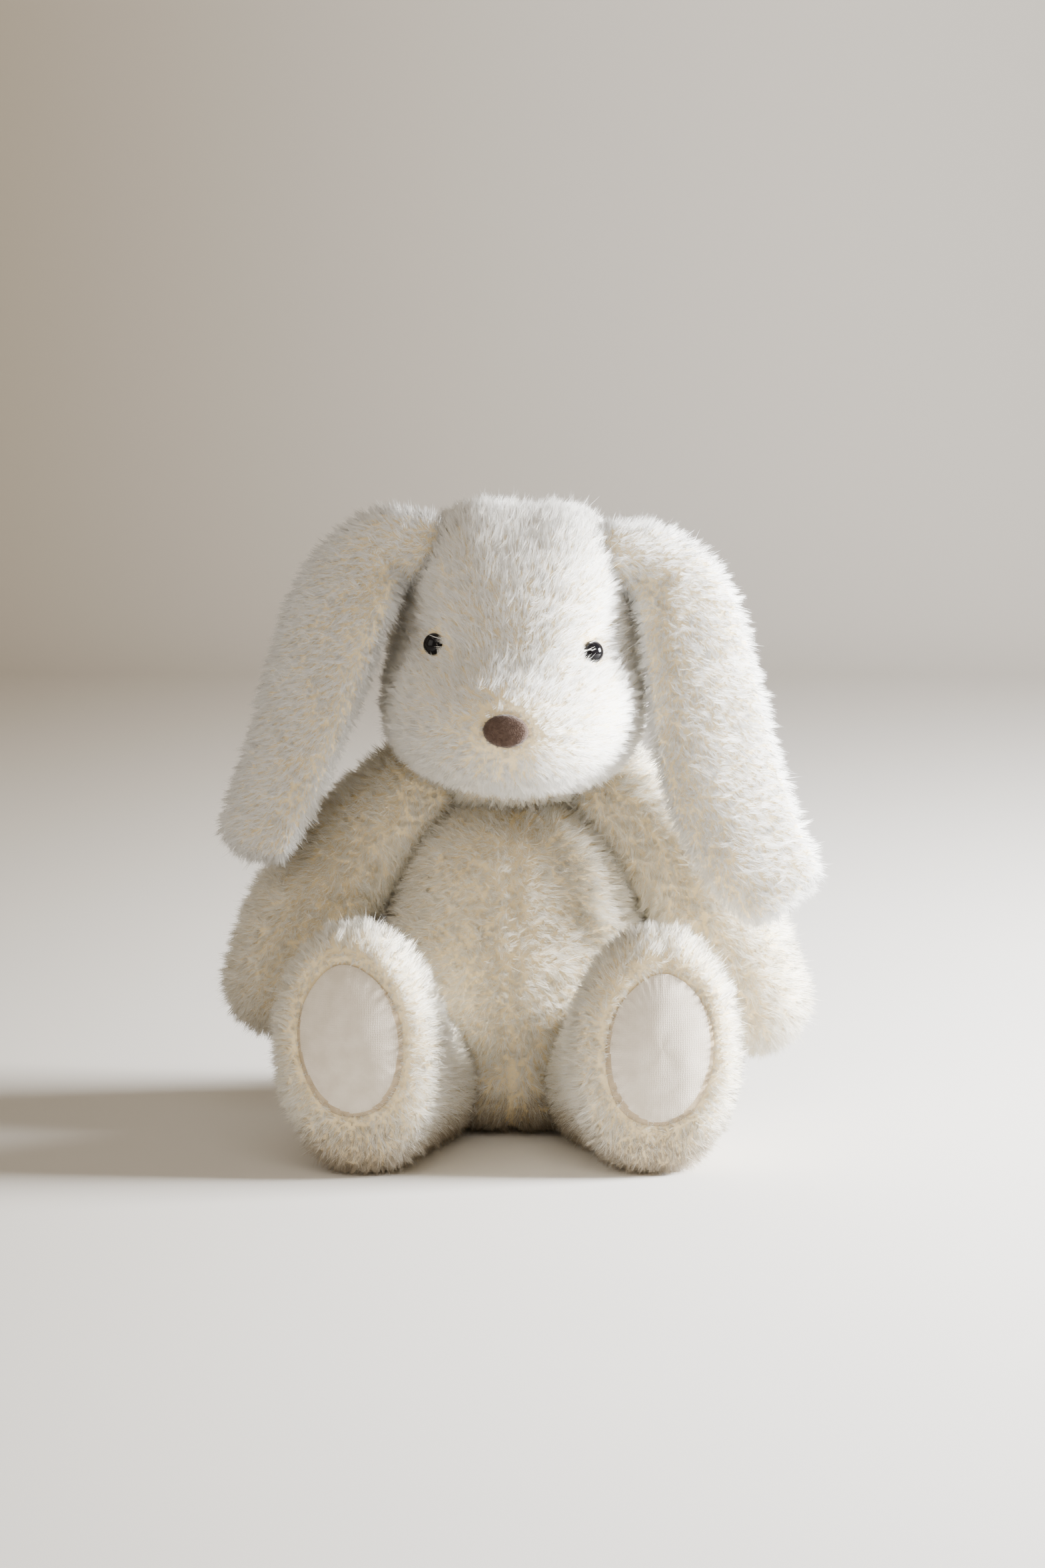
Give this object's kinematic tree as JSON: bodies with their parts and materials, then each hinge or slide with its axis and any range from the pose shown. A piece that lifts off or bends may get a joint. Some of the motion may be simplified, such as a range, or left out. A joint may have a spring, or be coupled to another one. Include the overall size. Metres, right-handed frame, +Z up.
{
  "type": "stuffed bunny rabbit",
  "caption": "Seated lop-eared plush rabbit with long drooping ears, domed eyes, oval nose, soft limbs and woven foot soles.",
  "frame": {"origin": "the middle of the flat seat panel, on the surface that the rabbit sits on", "axes": "+Z up, -Y the way the rabbit faces, +X the rabbit's own left"},
  "size_m": [0.2633, 0.2103, 0.2774],
  "materials": {
    "pile_fabric": "matte",
    "ear_lining_fabric": "matte",
    "sole_fabric": "matte",
    "stuffing_fibre": "matte",
    "pellet_bag_cloth": "matte",
    "eye_plastic": "gloss",
    "washer_plastic": "satin",
    "nose_felt": "matte",
    "thread": "matte",
    "label_satin": "satin"
  },
  "bodies": {
    "body": {"body_front_left": "pile_fabric", "body_front_right": "pile_fabric", "body_back_left": "pile_fabric", "body_back_right": "pile_fabric", "seat_panel": "pile_fabric", "body_stuffing": "stuffing_fibre", "pellet_bag": "pellet_bag_cloth", "tail": "pile_fabric", "closing_stitches": "thread", "care_label": "label_satin"},
    "neck": {"neck_thread": "thread"},
    "head": {"face_left": "pile_fabric", "face_right": "pile_fabric", "head_back": "pile_fabric", "head_stuffing": "stuffing_fibre", "eye_left": "eye_plastic", "eye_right": "eye_plastic", "eye_washer_left": "washer_plastic", "eye_washer_right": "washer_plastic", "nose": "nose_felt"},
    "ear_left": {"ear_lining_left": "ear_lining_fabric", "ear_outer_left": "pile_fabric"},
    "ear_right": {"ear_lining_right": "ear_lining_fabric", "ear_outer_right": "pile_fabric"},
    "arm_left": {"arm_outer_left": "pile_fabric", "arm_inner_left": "pile_fabric", "arm_stuffing_left": "stuffing_fibre"},
    "arm_right": {"arm_outer_right": "pile_fabric", "arm_inner_right": "pile_fabric", "arm_stuffing_right": "stuffing_fibre"},
    "leg_left": {"leg_outer_left": "pile_fabric", "leg_inner_left": "pile_fabric", "leg_stuffing_left": "stuffing_fibre", "sole_left": "sole_fabric"},
    "leg_right": {"leg_outer_right": "pile_fabric", "leg_inner_right": "pile_fabric", "leg_stuffing_right": "stuffing_fibre", "sole_right": "sole_fabric"}
  },
  "joints": [
    {"name": "head_turn", "type": "hinge", "parent": "body", "child": "neck", "pos_m": [0, 0.002, 0.156], "axis": [0, 0, 1], "range_deg": [-15, 15]},
    {"name": "head_nod", "type": "hinge", "parent": "neck", "child": "head", "pos_m": [0, 0.002, 0.156], "axis": [1, 0, 0], "range_deg": [-20, 12]},
    {"name": "ear_left_lift", "type": "hinge", "parent": "head", "child": "ear_left", "pos_m": [0.054, -0.012, 0.259], "axis": [0, -1, 0], "range_deg": [0, 90]},
    {"name": "ear_right_lift", "type": "hinge", "parent": "head", "child": "ear_right", "pos_m": [-0.046, -0.012, 0.263], "axis": [0, 1, 0], "range_deg": [0, 90]},
    {"name": "arm_left_swing", "type": "hinge", "parent": "body", "child": "arm_left", "pos_m": [0.049, 0.004, 0.146], "axis": [1, 0, 0], "range_deg": [-20, 55]},
    {"name": "arm_right_swing", "type": "hinge", "parent": "body", "child": "arm_right", "pos_m": [-0.049, 0.004, 0.146], "axis": [1, 0, 0], "range_deg": [-20, 55]},
    {"name": "leg_left_lift", "type": "hinge", "parent": "body", "child": "leg_left", "pos_m": [0.037, -0.049, 0.027], "axis": [-1, 0, 0], "range_deg": [0, 25]},
    {"name": "leg_right_lift", "type": "hinge", "parent": "body", "child": "leg_right", "pos_m": [-0.037, -0.049, 0.027], "axis": [-1, 0, 0], "range_deg": [0, 25]}
  ]
}
